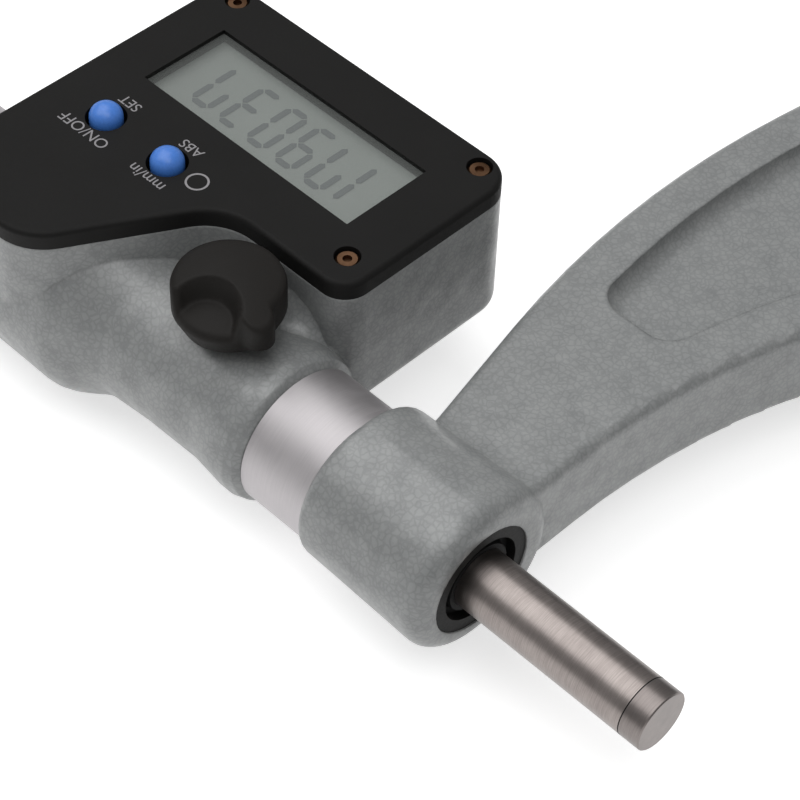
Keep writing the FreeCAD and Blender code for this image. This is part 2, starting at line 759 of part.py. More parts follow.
BATTERY_X = f"({BOX_FRONT} - battery_x)"
CAP_TOP = "(cap_height - box_drop)"
cap_blank = upright_turned("cap_blank", BATTERY_X, "battery_y", [
    ("0", "-box_drop"), ("cap_radius - 0.4", "-box_drop"), ("cap_radius", "0.4 - box_drop"),
    ("cap_radius", f"{CAP_TOP} - 2 * ring_wire"), ("cap_radius - 2 * ring_wire", f"{CAP_TOP} - 2 * ring_wire"),
    ("cap_radius - 2 * ring_wire", CAP_TOP), ("0", CAP_TOP),
])
coin_cut = box(
    "coin_cut", (f"({BATTERY_X} - 0.8 * cap_radius)", "(battery_y - coin_slot / 2)", "(-box_drop - 1)"),
    (f"({BATTERY_X} + 0.8 * cap_radius)", "(battery_y + coin_slot / 2)", "(1 - box_drop)"))
keep(cut("cap_cut", cap_blank, coin_cut), "battery_cap")
GASKET_INNER = "(cap_radius - 2 * ring_wire + seat_gap)"
keep(upright_turned("gasket", BATTERY_X, "battery_y", [
    (GASKET_INNER, f"{CAP_TOP} - 2 * ring_wire"), ("cap_radius", f"{CAP_TOP} - 2 * ring_wire"),
    ("cap_radius", CAP_TOP), (GASKET_INNER, CAP_TOP),
]), "battery_seal")
keep(post("cell", BATTERY_X, "battery_y", CAP_TOP, f"({CAP_TOP} + battery_height)", "battery_radius"), "battery")
contact_low = box(
    "contact_foot", (f"({BATTERY_X} - 2)", "(battery_y - 3)", f"({CAP_TOP} + battery_height)"),
    (f"({BATTERY_X} + 2)", "(battery_y + 3)", f"({CAP_TOP} + battery_height + 0.3)"))
contact_leg = box(
    "contact_leg", (f"({BATTERY_X} + 1.7)", "(battery_y - 3)", f"({CAP_TOP} + battery_height)"),
    (f"({BATTERY_X} + 2)", "(battery_y + 3)", "board_level"))
keep(fuse("contact_join", [contact_low, contact_leg]), "battery_contact")

# ---------------------------------------------------------------- spindle lock

SCREW_LOW = "(stem_radius + 0.3)"
keep(post("shoe", LOCK_X, "0", f"({BORE})", "stem_radius", "lock_shoe_radius"), "lock_shoe")
keep(post("lock_rod", LOCK_X, "0", SCREW_LOW, "knob_rim_low", "lock_screw_radius"), "lock_screw")


def build_knob():
    """A flat disc with a comma-shaped finger lever that runs out past its rim."""
    middle = FreeCAD.Vector(size(LOCK_X), 0, 0)
    radius = size("knob_radius")
    corners = [
        (0, size("knob_bottom")), (size("knob_base_radius"), size("knob_bottom")), (radius, size("knob_rim_low")),
        (radius, size("knob_rim_top") - 0.6), (radius - 0.6, size("knob_rim_top")), (0, size("knob_rim_top")),
    ]
    points = [FreeCAD.Vector(0, across, up) for across, up in corners]
    disc = Part.Face(Part.makePolygon(points + points[:1]))
    disc = disc.revolve(FreeCAD.Vector(0, 0, 0), FreeCAD.Vector(0, 0, 1), 360)
    heel = size("lever_heel_radius")
    nose = size("lever_nose_radius")
    offset = size("lever_heel_offset")
    reach = size("lever_nose_reach")
    # Two rounds joined by their common tangents make the lever's plan.
    span = offset + reach
    lean = math.asin((heel - nose) / span)
    heel_x = heel * math.sin(lean) - offset
    nose_x = reach + nose * math.sin(lean)
    side = math.cos(lean)
    plan = [
        Part.Arc(
            FreeCAD.Vector(heel_x, heel * side, 0), FreeCAD.Vector(-offset - heel, 0, 0),
            FreeCAD.Vector(heel_x, -heel * side, 0)).toShape(),
        Part.LineSegment(
            FreeCAD.Vector(heel_x, -heel * side, 0), FreeCAD.Vector(nose_x, -nose * side, 0)).toShape(),
        Part.Arc(
            FreeCAD.Vector(nose_x, -nose * side, 0), FreeCAD.Vector(reach + nose, 0, 0),
            FreeCAD.Vector(nose_x, nose * side, 0)).toShape(),
        Part.LineSegment(
            FreeCAD.Vector(nose_x, nose * side, 0), FreeCAD.Vector(heel_x, heel * side, 0)).toShape(),
    ]
    lever = slab(Part.Wire(plan), size("(knob_rim_low + knob_rim_top) / 2"), size("knob_top"))
    # A round scoop on one side gives the finger its hold.
    top = size("knob_top")
    scoop = rod_up(-size("scoop_back"), -size("scoop_aside"), size("knob_rim_top"), top + 1, size("scoop_radius"))
    lever = lever.cut(scoop)
    solid = disc.fuse(lever.makeFillet(size("lever_round"), edges_at(lever, size("knob_top"))))
    socket = rod_up(0, 0, size("knob_bottom") - 1, size("knob_rim_low"), size("lock_screw_radius"))
    solid = solid.cut(socket).removeSplitter().Solids[0]
    solid.rotate(FreeCAD.Vector(0, 0, 0), FreeCAD.Vector(0, 0, 1), -size("lever_angle"))
    solid.translate(middle)
    return solid


shaped("lock_knob", build_knob())

# ---------------------------------------------------------------- encoder

turned("encoder_stator", tube(STATOR_FRONT, STATOR_BACK, "passage_radius", "chamber_radius - seat_gap"))
turned("encoder_rotor", tube(
    ROTOR_FRONT, f"({ROTOR_FRONT} - rotor_thickness)", "bush_radius + seat_gap", "rotor_radius"))
bush_blank = turned_body("bush_blank", tube(ROTOR_FRONT, BUSH_BACK, BORE, "bush_radius"))
key = box(
    "drive_key", (f"({BUSH_BACK} + 1)", "(0.05 - key_width / 2)", "(spindle_radius - key_depth + 0.1)"),
    (f"({ROTOR_FRONT} - 1)", "(key_width / 2 - 0.05)", "(bush_radius - 0.5)"))
keep(fuse("bush_join", [bush_blank, key]), "rotor_bush")
turned("bush_washer", tube(
    f"({BUSH_BACK} - 0.1)", f"({FLANGE_FRONT} + 0.1)", "spindle_radius + 0.6", "bush_radius"))

# ---------------------------------------------------------------- rear barrel, spindle and thimble

turned("rear_barrel", [
    (FLANGE_FRONT, "passage_radius"), (FLANGE_FRONT, "chamber_radius - seat_gap"),
    (HOUSING_BACK, "chamber_radius - seat_gap"), (HOUSING_BACK, "barrel_radius"),
    (f"{BARREL_BACK} + nut_ring_length", "barrel_radius"),
    (f"{BARREL_BACK} + nut_ring_length", "screw_thread_radius + nut_wall"),
    (BARREL_BACK, "screw_thread_radius + nut_wall"), (BARREL_BACK, "screw_thread_radius + running_gap"),
    (NUT_FRONT, "screw_thread_radius + running_gap"), (NUT_FRONT, "passage_radius"),
])
turned("adjusting_nut", tube(
    f"({BARREL_BACK} + nut_ring_length)", BARREL_BACK, "screw_thread_radius + nut_wall + seat_gap",
    "barrel_radius - 0.2"))
turned("spindle_tip", [
    (SPINDLE_FACE, "0"), (SPINDLE_FACE, "spindle_radius - 0.15"), (f"{SPINDLE_FACE} - 0.15", "spindle_radius"),
    (SPINDLE_FRONT, "spindle_radius"), (SPINDLE_FRONT, "0"),
])
spindle_blank = turned_body("spindle_blank", [
    (SPINDLE_FRONT, "0"), (SPINDLE_FRONT, "spindle_radius"), (GROUND_BACK, "spindle_radius"),
    (f"{GROUND_BACK} - 0.3", "screw_thread_radius"), (THIMBLE_INNER, "screw_thread_radius"),
    (THIMBLE_INNER, "tail_radius"), (f"{THIMBLE_INNER} - tail_length", "tail_radius"),
    (f"{THIMBLE_INNER} - tail_length", "0"),
])
keyway = box(
    "keyway", (f"({BUSH_BACK} - opened - 1)", "(-key_width / 2)", "(spindle_radius - key_depth)"),
    (f"({ROTOR_FRONT} + travel - opened + 1)", "(key_width / 2)", "(spindle_radius + 1)"))
keep(cut("spindle_cut", spindle_blank, keyway), "spindle")

THIMBLE_BORE = "(thimble_radius - thimble_wall)"
turned("thimble", [
    (THIMBLE_FRONT, THIMBLE_BORE), (THIMBLE_FRONT, f"{THIMBLE_BORE} + 0.3"),
    (f"{THIMBLE_FRONT} - thimble_bevel", "thimble_radius"), (f"{THIMBLE_BACK} + 1", "thimble_radius"),
    (THIMBLE_BACK, "thimble_radius - 1"), (THIMBLE_BACK, "tail_radius + seat_gap"),
    (THIMBLE_INNER, "tail_radius + seat_gap"), (THIMBLE_INNER, THIMBLE_BORE),
])
turned("ratchet_gear", tube(THIMBLE_BACK, BASE_BACK, "tail_radius + seat_gap", "ratchet_radius - 0.6"))


def build_ratchet_knob():
    """A hollow knob with straight flutes round its grip."""
    front = size(KNOB_FRONT)
    back = size(KNOB_BACK)
    radius = size("ratchet_radius")
    inside = radius - size("ratchet_wall")
    plate = size("ratchet_plate")
    shank = size("ratchet_screw_head") * 0.6
    floor = size(f"{KNOB_BACK} + ratchet_floor")
    solid = lathe([
        (front, inside), (front, radius - 0.8), (front - 0.8, radius), (back + 1.2, radius), (back, radius - 1.2),
        (back, size("ratchet_screw_head") + 0.3), (back + 2.4, size("ratchet_screw_head") + 0.3),
        (back + 2.4, shank + 0.3), (floor, shank + 0.3), (floor, inside),
    ])
    flute = rod_along_x(front - 3.5 - plate, back - 1, size("flute_radius"))
    flute.translate(FreeCAD.Vector(0, radius + 0.25 * size("flute_radius"), 0))
    cuts = []
    for number in range(FLUTES):
        groove = flute.copy()
        groove.rotate(FreeCAD.Vector(0, 0, 0), FreeCAD.Vector(1, 0, 0), 360 / FLUTES * number)
        cuts.append(groove)
    return solid.cut(cuts).Solids[0]


shaped("ratchet_knob", build_ratchet_knob())
KNOB_INSIDE = "(ratchet_radius - ratchet_wall)"
turned("ratchet_clutch", tube(
    KNOB_FRONT, f"({KNOB_FRONT} - ratchet_plate)", "tail_radius + moving_gap", f"({KNOB_INSIDE} - seat_gap)"))
SPRING_TURNS = 2.5
SPRING_WIRE = 0.4


def build_spring():
    """A short coil spring of square wire that presses the clutch on the gear."""
    front = size(f"{KNOB_FRONT} - ratchet_plate") - SPRING_WIRE - 0.05
    back = size(f"{KNOB_BACK} + ratchet_floor") + SPRING_WIRE + 0.05
    middle = size("ratchet_radius - ratchet_wall") - 2 * SPRING_WIRE - 0.3
    helix = Part.makeHelix((front - back) / SPRING_TURNS, front - back, middle)
    corners = [(1, 1), (1, -1), (-1, -1), (-1, 1), (1, 1)]
    section = Part.makePolygon([
        FreeCAD.Vector(middle + out * SPRING_WIRE, 0, along * SPRING_WIRE) for out, along in corners])
    coil = Part.Wire(helix).makePipeShell([section], True, True)
    coil.rotate(FreeCAD.Vector(0, 0, 0), FreeCAD.Vector(0, 1, 0), 90)
    coil.translate(FreeCAD.Vector(back, 0, 0))
    return coil.Solids[0]


shaped("ratchet_spring", build_spring())
SCREW_SHANK = "(ratchet_screw_head * 0.6)"
turned("ratchet_screw", [
    (f"({THIMBLE_INNER} - tail_length)", "0"), (f"({THIMBLE_INNER} - tail_length)", SCREW_SHANK),
    (f"({KNOB_BACK} + 2.1)", SCREW_SHANK), (f"({KNOB_BACK} + 2.1)", "ratchet_screw_head"),
    (f"({KNOB_BACK} + 0.3)", "ratchet_screw_head"), (f"({KNOB_BACK} + 0.3)", "0"),
])

# ---------------------------------------------------------------- check and write

doc.recompute()
for item in doc.Objects:
    if "Invalid" in item.State or "Error" in item.State:
        raise RuntimeError(f"{item.Label} failed to build: {item.State}")
for piece in PIECES:
    if piece.Shape.isNull() or not piece.Shape.isValid():
        raise RuntimeError(f"{piece.Label} has no sound shape")
os.makedirs("parts", exist_ok=True)
for piece in PIECES:
    piece.Shape.exportStep(f"parts/{piece.Label}.step")
    solids = len(piece.Shape.Solids)
    print(f"{piece.Label}: {solids} solid, {piece.Shape.Volume:.1f} mm3")
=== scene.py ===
"""The looks of a digital outside micrometer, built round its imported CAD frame.

Metres, with +X along the measuring line and +Z out of the display.
"""

import math

import bpy
from mathutils import Matrix, Vector


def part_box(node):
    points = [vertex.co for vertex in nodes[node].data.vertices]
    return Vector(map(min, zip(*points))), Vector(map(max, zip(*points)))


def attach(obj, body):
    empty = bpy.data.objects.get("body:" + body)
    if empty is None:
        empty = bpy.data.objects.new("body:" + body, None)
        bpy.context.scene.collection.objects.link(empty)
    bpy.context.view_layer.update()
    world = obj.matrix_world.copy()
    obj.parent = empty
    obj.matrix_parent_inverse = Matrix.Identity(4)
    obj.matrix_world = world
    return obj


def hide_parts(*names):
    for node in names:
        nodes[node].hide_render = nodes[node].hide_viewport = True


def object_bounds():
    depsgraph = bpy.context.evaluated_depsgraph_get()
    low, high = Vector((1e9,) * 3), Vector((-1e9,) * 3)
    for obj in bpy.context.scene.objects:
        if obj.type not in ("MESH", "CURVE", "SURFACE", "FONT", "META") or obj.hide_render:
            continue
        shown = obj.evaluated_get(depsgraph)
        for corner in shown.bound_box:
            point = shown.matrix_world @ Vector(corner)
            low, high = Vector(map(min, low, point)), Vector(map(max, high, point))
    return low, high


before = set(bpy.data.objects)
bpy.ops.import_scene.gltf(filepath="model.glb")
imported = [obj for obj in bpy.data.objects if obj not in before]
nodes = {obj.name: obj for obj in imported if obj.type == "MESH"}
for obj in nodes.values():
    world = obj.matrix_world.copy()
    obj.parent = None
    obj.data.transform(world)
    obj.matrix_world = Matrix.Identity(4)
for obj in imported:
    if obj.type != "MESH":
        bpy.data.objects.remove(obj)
cad_low, cad_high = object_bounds()

MM = 0.001


# ---------------------------------------------------------------- material helpers


def new_material(name):
    """A node material with one Principled shader."""
    material = bpy.data.materials.new(name)
    material.use_nodes = True
    return material, material.node_tree, material.node_tree.nodes["Principled BSDF"]


def add_node(tree, kind, inputs=None, **settings):
    """A shader node with its settings and its unlinked or linked inputs."""
    made = tree.nodes.new(kind)
    for key, value in settings.items():
        setattr(made, key, value)
    for key, value in (inputs or {}).items():
        if isinstance(value, bpy.types.NodeSocket):
            tree.links.new(value, made.inputs[key])
        else:
            made.inputs[key].default_value = value
    return made


def place(tree, stretch=(1, 1, 1)):
    """Object coordinates in millimetres, stretched along each axis."""
    where = add_node(tree, "ShaderNodeTexCoord").outputs["Object"]
    scale = [factor / MM for factor in stretch]
    return add_node(tree, "ShaderNodeMapping", {"Vector": where, "Scale": scale}).outputs["Vector"]


def speckle(tree, vector, size, detail=2.0, roughness=0.5):
    """Soft noise whose lumps are about size millimetres across."""
    return add_node(
        tree,
        "ShaderNodeTexNoise",
        {"Vector": vector, "Scale": 1 / size, "Detail": detail, "Roughness": roughness},
    ).outputs["Fac"]


def cell_edges(tree, vector, size):
    """The distance to the nearest edge between cells about size millimetres across."""
    inputs = {"Vector": vector, "Scale": 1 / size}
    return add_node(tree, "ShaderNodeTexVoronoi", inputs, feature="DISTANCE_TO_EDGE").outputs["Distance"]


def between(tree, value, low, high, start=0.0, end=1.0):
    """Map value from start..end to low..high, held at the ends."""
    return add_node(
        tree,
        "ShaderNodeMapRange",
        {"Value": value, "From Min": start, "From Max": end, "To Min": low, "To Max": high},
        clamp=True,
    ).outputs["Result"]


def shade(tree, value, dark, light, start=0.0, end=1.0):
    """A colour from dark to light as value goes from start to end."""
    ramp = add_node(tree, "ShaderNodeValToRGB", {"Fac": between(tree, value, 0.0, 1.0, start, end)})
    for element, colour in zip(ramp.color_ramp.elements, (dark, light)):
        element.color = (*colour, 1)
    return ramp.outputs["Color"]


def blend_sum(tree, first, second, share):
    """first plus share times second."""
    return add_node(
        tree, "ShaderNodeMath", {0: second, 1: share, 2: first}, operation="MULTIPLY_ADD"
    ).outputs["Value"]


def relief(tree, height, depth, strength=1.0, under=None):
    """A bump of depth millimetres, on top of the one under it."""
    inputs = {"Height": height, "Distance": depth * MM, "Strength": strength}
    if under is not None:
        inputs["Normal"] = under
    return add_node(tree, "ShaderNodeBump", inputs).outputs["Normal"]


def set_shader(tree, shader, **values):
    """Set or link the shader's sockets, named with underscores for spaces."""
    for key, value in values.items():
        socket = shader.inputs[key.replace("_", " ")]
        if isinstance(value, bpy.types.NodeSocket):
            tree.links.new(value, socket)
        elif isinstance(value, tuple) and len(value) == 3:
            socket.default_value = (*value, 1)
        else:
            socket.default_value = value


# ---------------------------------------------------------------- materials


CAST_ROUND = 0.7 * MM
ENAMEL_DARK = (0.215, 0.223, 0.224)
ENAMEL_LIGHT = (0.320, 0.328, 0.326)
POOL_SIZE = 0.85
VEIN_WIDTH = 0.22
CLOUD_SIZE = 2.8
# How strongly the soft clouds lighten the enamel colour: they are partly random mottling and partly a painted
# highlight.
MOTTLE_AND_SHEEN_SHARE = 2.2


def hammertone():
    """Hammer enamel: a fine crackle of small pools with thin darker veins, and soft paler clouds, partly
    random mottling and partly a painted highlight.
    """
    material, tree, shader = new_material("hammertone_enamel")
    where = place(tree)
    drift = add_node(
        tree, "ShaderNodeTexNoise", {"Vector": where, "Scale": 1.2, "Detail": 2.0}
    ).outputs["Color"]
    push = add_node(
        tree, "ShaderNodeVectorMath", {0: drift, "Scale": 0.8}, operation="SCALE"
    ).outputs["Vector"]
    bent = add_node(tree, "ShaderNodeVectorMath", {0: where, 1: push}, operation="ADD").outputs["Vector"]
    pools = between(tree, cell_edges(tree, bent, POOL_SIZE), 0.0, 1.0, 0.0, VEIN_WIDTH)
    clouds = speckle(tree, where, CLOUD_SIZE, 2.0)
    # Painted highlight: the clouds lighten the colour in soft pale blotches, on top of the enamel's random
    # mottling.
    tone = blend_sum(tree, pools, clouds, MOTTLE_AND_SHEEN_SHARE)
    colour = shade(tree, tone, ENAMEL_DARK, ENAMEL_LIGHT, 0.6, 2.6)
    rounded = add_node(tree, "ShaderNodeBevel", {"Radius": CAST_ROUND}, samples=4).outputs["Normal"]
    bumped = relief(tree, clouds, 0.22, 0.5, rounded)
    bumped = relief(tree, pools, 0.02, 0.25, bumped)
    set_shader(
        tree,
        shader,
        Base_Color=colour,
        Metallic=0.1,
        Roughness=between(tree, clouds, 0.46, 0.34, 0.3, 0.7),
        Coat_Weight=0.25,
        Coat_Roughness=0.2,
        Normal=bumped,
    )
    return material


def turned_metal(name, dark, light, roughness, line=0.06, depth=0.004, axis=0):
    """Ground or turned metal with fine lines round its axis and faint clouding."""
    material, tree, shader = new_material(name)
    stretch = [0.02, 0.02, 0.02]
    stretch[axis] = 1
    lines = speckle(tree, place(tree, stretch), line, 3.0, 0.7)
    clouds = speckle(tree, place(tree), 4.0, 3.0)
    tone = blend_sum(tree, lines, clouds, 0.5)
    set_shader(
        tree,
        shader,
        Base_Color=shade(tree, tone, dark, light, 0.55, 0.95),
        Metallic=1.0,
        Roughness=between(tree, tone, roughness * 0.85, roughness * 1.2, 0.4, 1.1),
        Normal=relief(tree, lines, depth, 0.35),
    )
    return material


def fine_plastic(name, dark, light, roughness, grain=0.35, depth=0.03, coat=0.0, gloss=0.5):
    """Moulded plastic with a spark-eroded grain."""
    material, tree, shader = new_material(name)
    where = place(tree)
    pits = speckle(tree, where, grain, 3.0, 0.6)
    clouds = speckle(tree, where, 9.0, 2.0)
    tone = blend_sum(tree, pits, clouds, 0.6)
    set_shader(
        tree,
        shader,
        Base_Color=shade(tree, tone, dark, light, 0.5, 1.1),
        Roughness=between(tree, pits, roughness * 0.9, roughness * 1.1, 0.3, 0.7),
        Coat_Weight=coat,
        Coat_Roughness=0.25,
        Specular_IOR_Level=gloss,
        Normal=relief(tree, pits, depth, 0.5),
    )
    return material


def window_pane():
    """A clear pane that mostly lets the display show."""
    material, tree, shader = new_material("clear_pane")
    smear = speckle(tree, place(tree), 6.0, 3.0)
    set_shader(
        tree,
        shader,
        Base_Color=(0.55, 0.58, 0.56),
        Roughness=between(tree, smear, 0.10, 0.20, 0.35, 0.65),
        Alpha=0.12,
    )
    return material


def display_glass():
    """The grey-green polariser of the display with its faint sparkle."""
    material, tree, shader = new_material("display_polariser")
    where = place(tree)
    grain = speckle(tree, where, 0.12, 2.0)
    clouds = speckle(tree, where, 12.0, 1.0)
    tone = blend_sum(tree, grain, clouds, 1.0)
    set_shader(
        tree,
        shader,
        Base_Color=shade(tree, tone, (0.190, 0.212, 0.196), (0.225, 0.250, 0.232), 0.7, 1.3),
        Roughness=0.45,
    )
    return material


def plain_print(name, colour, roughness=0.6):
    """Ink or a liquid crystal segment, with a little wear in its tone."""
    material, tree, shader = new_material(name)
    grain = speckle(tree, place(tree), 0.25, 2.0)
    worn = tuple(channel * 0.82 for channel in colour)
    set_shader(tree, shader, Base_Color=shade(tree, grain, worn, colour, 0.3, 0.7), Roughness=roughness)
    return material


STEEL = turned_metal("ground_steel", (0.215, 0.188, 0.178), (0.345, 0.308, 0.292), 0.33, depth=0.003)
CARBIDE = turned_metal("lapped_carbide", (0.175, 0.155, 0.148), (0.255, 0.228, 0.218), 0.34)
CHROME = turned_metal(
    "satin_chrome", (0.45, 0.430, 0.440), (0.53, 0.508, 0.518), 0.52, line=0.10, depth=0.001
)
COPPER = turned_metal("copper_steel", (0.075, 0.040, 0.022), (0.190, 0.105, 0.060), 0.42, line=0.1, axis=2)
NICKEL = turned_metal("nickel_plate", (0.50, 0.49, 0.47), (0.66, 0.65, 0.63), 0.25, axis=2)
BRASS = turned_metal("turned_brass", (0.44, 0.31, 0.12), (0.64, 0.49, 0.24), 0.3)
ENAMEL = hammertone()
BLACK = fine_plastic("black_moulding", (0.0060, 0.0058, 0.0056), (0.0100, 0.0096, 0.0092), 0.58, gloss=0.16)
KNOB_BLACK = fine_plastic(
    "brown_black_moulding", (0.0085, 0.0075, 0.0065), (0.0150, 0.0132, 0.0118), 0.6, gloss=0.2
)
RUBBER = fine_plastic(
    "seal_rubber", (0.0040, 0.0040, 0.0042), (0.0080, 0.0078, 0.0080), 0.65, 0.2, 0.02, gloss=0.12
)
BLUE = fine_plastic("blue_button", (0.062, 0.215, 0.700), (0.085, 0.270, 0.820), 0.34, 0.3, 0.01, 0.15)
BOARD = fine_plastic("circuit_board", (0.012, 0.085, 0.035), (0.025, 0.140, 0.060), 0.4)
PANE = window_pane()
DISPLAY = display_glass()
SEGMENT = plain_print("display_segment", (0.085, 0.098, 0.102))
INK = plain_print("legend_ink", (0.33, 0.32, 0.33))

FINISHES = {
    ENAMEL: ["frame", "housing"],
    STEEL: ["spindle", "encoder_rotor", "encoder_stator", "lock_shoe", "lock_screw", "adjusting_nut"],
    CARBIDE: ["anvil_tip", "spindle_tip"],
    CHROME: ["stem_sleeve", "anvil", "rear_barrel", "thimble", "ratchet_gear", "ratchet_knob", "battery_cap"],
    NICKEL: ["battery", "battery_contact", "ratchet_spring", "ratchet_screw", "bush_washer"],
    BRASS: ["rotor_bush", "ratchet_clutch"],
    COPPER: ["cover_screws"],
    BLACK: ["face_cover", "key_switches", "contact_strip", "nose_ring"],
    KNOB_BLACK: ["lock_knob"],
    RUBBER: ["wiper_seal", "battery_seal"],
    BLUE: ["left_button", "right_button"],
    BOARD: ["circuit_board"],
    PANE: ["display_window"],
    DISPLAY: ["display_panel"],
}


def dress_nodes():
    """Give each CAD node its finish."""
    for material, names in FINISHES.items():
        for name in names:
            for holder in nodes[name].material_slots:
                holder.material = material


# ---------------------------------------------------------------- pieces


def mesh_piece(name, points, faces, material, body, slot, smooth=False):
    """A new piece from points and faces, riding on a body."""
    mesh = bpy.data.meshes.new(name)
    mesh.from_pydata([tuple(point) for point in points], [], faces)
    mesh.validate()
    mesh.materials.append(material)
    for face in mesh.polygons:
        face.use_smooth = smooth
    piece = bpy.data.objects.new(name, mesh)
    bpy.context.scene.collection.objects.link(piece)
    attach(piece, body)
    return piece


def ring_points(centre, radius, level, count):
    """Points round a circle, or round an outline where radius is a function of the angle."""
    points = []
    for number in range(count):
        angle = math.tau * number / count
        reach = radius(angle) if callable(radius) else radius
        points.append((centre[0] + reach * math.cos(angle), centre[1] + reach * math.sin(angle), level))
    return points


def skin_rings(rings):
    """Points and faces of a closed skin through rings, from the top ring down, capped at both ends."""
    count = len(rings[0])
    points = [point for ring in rings for point in ring]
    faces = [tuple(range(count))]
    for row in range(len(rings) - 1):
        for number in range(count):
            ahead = (number + 1) % count
            upper = row * count
            lower = upper + count
            faces.append((upper + number, lower + number, lower + ahead, upper + ahead))
    faces.append(tuple(reversed(range(len(points) - count, len(points)))))
    return points, faces


BUTTON_RADIUS = 2.2 * MM
BUTTON_SHOULDER = 0.1 * MM
BUTTON_DOME_STEPS = 8
BUTTON_SIDES = 48


def build_buttons():
    """Smooth domed buttons in place of the faceted ones."""
    for name in ("left_button", "right_button"):
        low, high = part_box(name)
        centre = ((low.x + high.x) / 2, (low.y + high.y) / 2)
        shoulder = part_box("face_cover")[1].z + BUTTON_SHOULDER
        rise = high.z - shoulder
        rings = []
        for step in range(1, BUTTON_DOME_STEPS + 1):
            angle = math.pi / 2 * step / BUTTON_DOME_STEPS
            reach = BUTTON_RADIUS * math.sin(angle)
            rings.append(ring_points(centre, reach, shoulder + rise * math.cos(angle), BUTTON_SIDES))
        rings.append(ring_points(centre, BUTTON_RADIUS, low.z, BUTTON_SIDES))
        piece = mesh_piece(name + "_dome", *skin_rings(rings), BLUE, name, "blue_plastic", smooth=True)
        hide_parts(name)


KNOB_DISC = 7.0 * MM
KNOB_BASE = 5.9 * MM
KNOB_NOSE = 1.9 * MM
KNOB_NOSE_REACH = 7.0 * MM
KNOB_NOSE_ANGLE = math.radians(-12)
KNOB_SCOOP_RADIUS = 4.7 * MM
KNOB_SCOOP_PLACE = (1.6 * MM, -5.5 * MM)
KNOB_SCOOP_DEPTH = 3.0 * MM
KNOB_SCOOP_SLOPE = 1.3 * MM
KNOB_EDGE = 0.9 * MM
KNOB_CROWN = 1.3 * MM
KNOB_RIM_FOOT = 2.6 * MM
KNOB_CHAMFER = 0.2 * MM
KNOB_SIDES = 120
KNOB_RINGS = 22


def knob_reach(angle):
    """The knob's outline: a disc with a rounded nose on one side."""
    turn = angle - KNOB_NOSE_ANGLE
    aside = KNOB_NOSE_REACH * math.sin(turn)
    if abs(aside) < KNOB_NOSE and math.cos(turn) > 0:
        nose = KNOB_NOSE_REACH * math.cos(turn) + math.sqrt(KNOB_NOSE**2 - aside**2)
        return max(KNOB_DISC, nose)
    return KNOB_DISC


def knob_height(across, along, top):
    """The knob's top level, which drops into the finger scoop."""
    away = math.hypot(across - KNOB_SCOOP_PLACE[0], along - KNOB_SCOOP_PLACE[1])
    top -= KNOB_CROWN * (across**2 + along**2) / KNOB_DISC**2
    share = min(max((KNOB_SCOOP_RADIUS - away) / KNOB_SCOOP_SLOPE, 0), 1)
    return top - KNOB_SCOOP_DEPTH * share * share * (3 - 2 * share)


def build_knob():
    """The lock knob with its pointed lever and the scoop for a finger."""
    low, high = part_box("lock_knob")
    screw_low, screw_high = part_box("lock_screw")
    centre = ((screw_low.x + screw_high.x) / 2, 0)
    top = high.z
    rings = []
    for row in range(1, KNOB_RINGS + 1):
        share = row / KNOB_RINGS
        ring = ring_points(centre, lambda angle: (knob_reach(angle) - KNOB_EDGE) * share, 0, KNOB_SIDES)
        rings.append([(x, y, knob_height(x - centre[0], y, top)) for x, y, _ in ring])
    edge = rings[-1]
    for inward, drop in ((0.3, 0.25), (0.0, 1.0)):
        ring = ring_points(centre, lambda angle: knob_reach(angle) - KNOB_EDGE * inward, 0, KNOB_SIDES)
        rings.append([(x, y, above[2] - KNOB_EDGE * drop) for (x, y, _), above in zip(ring, edge)])
    rings.append(ring_points(centre, knob_reach, low.z + KNOB_RIM_FOOT, KNOB_SIDES))
    rings.append(ring_points(centre, KNOB_BASE, low.z + KNOB_CHAMFER, KNOB_SIDES))
    rings.append(ring_points(centre, KNOB_BASE - KNOB_CHAMFER, low.z, KNOB_SIDES))
    piece = mesh_piece("lock_lever", *skin_rings(rings), KNOB_BLACK, "lock", "black_plastic", smooth=True)
    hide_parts("lock_knob")


JOINT_WIDTH = 0.14 * MM
JOINT_PROUD = 0.012 * MM
JOINT_SIDES = 64


def build_joint(name, tip, behind, body):
    """The thin dark line where a carbide tip is brazed on."""
    low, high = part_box(tip)
    radius = (high.z - low.z) / 2 + JOINT_PROUD
    station = high.x if behind > 0 else low.x
    points = []
    for side in (-0.5, 0.5):
        turned = ring_points((0, 0), radius, station + side * JOINT_WIDTH, JOINT_SIDES)
        points += [(level, across, along) for across, along, level in turned]
    faces = []
    for number in range(JOINT_SIDES):
        ahead = (number + 1) % JOINT_SIDES
        faces.append((number, ahead, JOINT_SIDES + ahead, JOINT_SIDES + number))
    mesh_piece(name, points, faces, RUBBER, body, "seal_rubber", smooth=True)


NECK_RADIUS = 10.1 * MM
NOTCH_WALL = 8.3 * MM
WEB_START = 2.6 * MM
# How far behind its start each section of the web stands, and its radius, in millimetres.
WEB_STATIONS = [(-0.2, 0.3), (-1.6, 1.6), (-3.4, 2.8), (-6.0, 3.6), (-12.0, 3.8), (-16.5, 3.8), (-19.5, 3.6)]
WEB_STEPS = 8
WEB_SINK = 0.12 * MM


